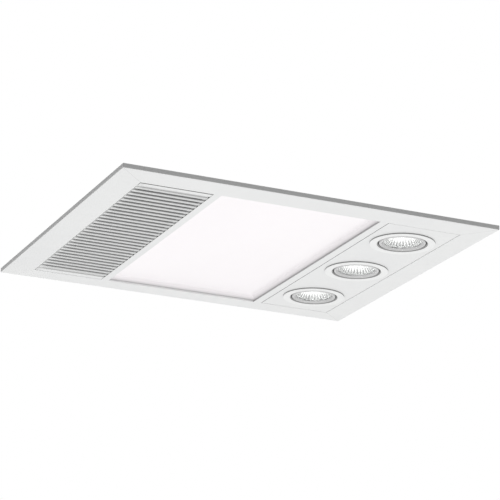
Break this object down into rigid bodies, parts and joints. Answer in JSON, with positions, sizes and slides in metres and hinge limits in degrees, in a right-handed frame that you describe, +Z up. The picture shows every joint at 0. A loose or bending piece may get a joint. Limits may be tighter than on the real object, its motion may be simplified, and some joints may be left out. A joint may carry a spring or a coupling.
{
  "type": "bathroom ceiling heater",
  "caption": "Flush bathroom ceiling unit with a louvred fan heater, a recessed light panel, tilting downlights and a ducted extractor in a steel housing.",
  "frame": {"origin": "middle of the ceiling plane, in the upper face of the housing's fixing flange", "axes": "+X towards the downlights, +Y towards the duct spigot, +Z up into the ceiling space"},
  "size_m": [0.5, 0.499, 0.2008],
  "materials": {
    "white_plastic": "satin moulded plastic",
    "opal_plastic": "opal, slightly translucent",
    "white_metal": "white powder coat",
    "lamp_ring_metal": "satin pale grey enamel",
    "zinc_steel": "galvanised sheet with a fine spangle",
    "spring_steel": "bright spring steel",
    "screw_steel": "zinc plated",
    "shaft_steel": "ground",
    "clear_glass": "clear, fluted behind",
    "reflector_glass": "pressed glass with a bright coat inside",
    "ceramic": "off-white glazed ceramic",
    "board_white": "white board with yellow emitters",
    "driver_plastic": "fine grained",
    "dark_plastic": "fine grained",
    "grey_plastic": "fine grained",
    "motor_enamel": "semi-gloss black",
    "bare_aluminium": "mill finish",
    "grey_rubber": "soft"
  },
  "bodies": {
    "unit": {"cable_gland": "grey_plastic", "ceiling_flange": "zinc_steel", "duct_spigot": "zinc_steel", "exhaust_hangers": "zinc_steel", "exhaust_motor": "motor_enamel", "exhaust_scroll": "zinc_steel", "fascia_clips": "spring_steel", "fascia_frame": "white_plastic", "fascia_screws": "screw_steel", "flap_pin": "shaft_steel", "gland_nut": "grey_plastic", "heater_bearing": "grey_rubber", "heater_casing": "zinc_steel", "heater_grille": "white_plastic", "heater_motor": "motor_enamel", "housing_box": "zinc_steel", "lamp_plate": "white_plastic", "led_boards": "board_white", "led_driver": "driver_plastic", "light_diffuser": "opal_plastic", "light_tray": "white_metal", "motor_capacitor": "driver_plastic", "motor_screws": "screw_steel", "ptc_element": "bare_aluminium", "ptc_holders": "dark_plastic", "spigot_plate": "zinc_steel", "spigot_rivets": "bare_aluminium", "terminal_block": "driver_plastic", "terminal_cover": "zinc_steel", "thermal_cutout": "dark_plastic", "tilt_pins": "shaft_steel", "trim_ring_1": "white_metal", "trim_ring_2": "white_metal", "trim_ring_3": "white_metal", "trim_springs": "spring_steel"},
    "exhaust_rotor": {"exhaust_impeller": "dark_plastic", "exhaust_shaft": "shaft_steel"},
    "heater_rotor": {"heater_impeller": "bare_aluminium"},
    "backdraft_flap": {"backdraft_flap": "bare_aluminium"},
    "downlight_1": {"gimbal_ring_1": "lamp_ring_metal", "lamp_clip_1": "spring_steel", "lamp_reflector_1": "reflector_glass", "lamp_lens_1": "clear_glass", "lamp_capsule_1": "clear_glass", "lampholder_1": "ceramic"},
    "downlight_2": {"gimbal_ring_2": "lamp_ring_metal", "lamp_clip_2": "spring_steel", "lamp_reflector_2": "reflector_glass", "lamp_lens_2": "clear_glass", "lamp_capsule_2": "clear_glass", "lampholder_2": "ceramic"},
    "downlight_3": {"gimbal_ring_3": "lamp_ring_metal", "lamp_clip_3": "spring_steel", "lamp_reflector_3": "reflector_glass", "lamp_lens_3": "clear_glass", "lamp_capsule_3": "clear_glass", "lampholder_3": "ceramic"}
  },
  "joints": [
    {"name": "exhaust_spin", "type": "hinge", "parent": "unit", "child": "exhaust_rotor", "pos_m": [0.015, -0.04, 0.115], "axis": [0, 0, 1], "continuous": true},
    {"name": "heater_spin", "type": "hinge", "parent": "unit", "child": "heater_rotor", "pos_m": [-0.166, 0.07, 0.108], "axis": [0, 1, 0], "continuous": true},
    {"name": "flap_swing", "type": "hinge", "parent": "unit", "child": "backdraft_flap", "pos_m": [0.0975, 0.2029, 0.1534], "axis": [1, 0, 0], "range_deg": [0, 55]},
    {"name": "lamp_tilt_1", "type": "hinge", "parent": "unit", "child": "downlight_1", "pos_m": [0.16525, -0.13173, -0.0045], "axis": [1, 0, 0], "range_deg": [-25, 25]},
    {"name": "lamp_tilt_2", "type": "hinge", "parent": "unit", "child": "downlight_2", "pos_m": [0.16525, 0, -0.0045], "axis": [1, 0, 0], "range_deg": [-25, 25]},
    {"name": "lamp_tilt_3", "type": "hinge", "parent": "unit", "child": "downlight_3", "pos_m": [0.16525, 0.13173, -0.0045], "axis": [1, 0, 0], "range_deg": [-25, 25]}
  ]
}
